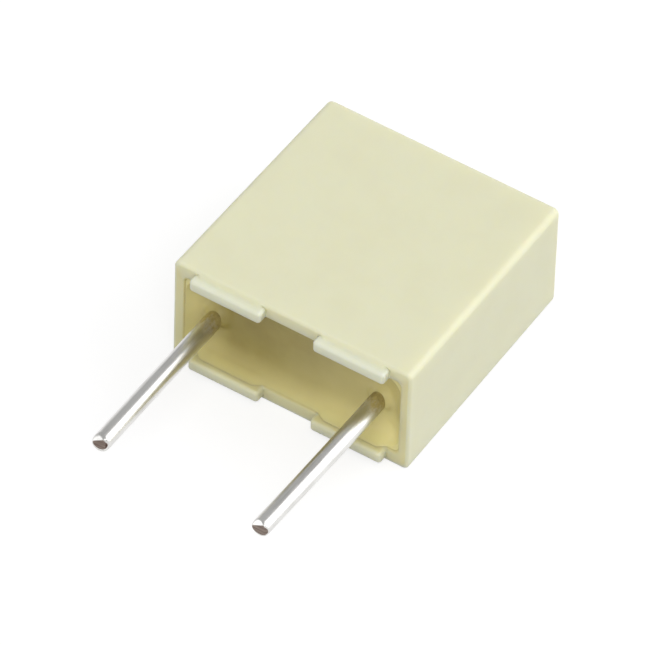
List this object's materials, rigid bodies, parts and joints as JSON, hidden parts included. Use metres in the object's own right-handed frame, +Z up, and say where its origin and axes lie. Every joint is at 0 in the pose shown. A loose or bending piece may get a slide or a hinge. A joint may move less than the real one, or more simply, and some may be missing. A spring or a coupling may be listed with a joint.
{
  "type": "box film capacitor",
  "caption": "Radial box film capacitor: pale cream moulded case, potted with yellowish resin at its open end, with stand-off lips on the rim and straight tinned wire leads.",
  "frame": {"origin": "On the circuit board's plane, where the stand-off lips end, at the point midway between the two leads.", "axes": "+X runs from the left lead to the right lead; +Y runs from the board into the case towards its closed end, so the leads point along -Y; +Z is up through the thickness, with the part lying on a broad face as in the picture."},
  "size_m": [0.0072, 0.0123, 0.0034],
  "materials": {
    "case_plastic": "satin moulded thermoplastic, pale cream",
    "potting_resin": "cured casting resin, yellowish, with a soft gloss",
    "wound_film": "metallised film, silvery",
    "sprayed_zinc": "rough sprayed metal, matt grey",
    "tinned_wire": "bright tinned wire with fine drawing marks along it"
  },
  "bodies": {
    "root": {"case": "case_plastic", "resin_fill": "potting_resin", "film_winding": "wound_film", "end_spray_left": "sprayed_zinc", "end_spray_right": "sprayed_zinc", "lead_left": "tinned_wire", "lead_right": "tinned_wire"}
  },
  "joints": []
}
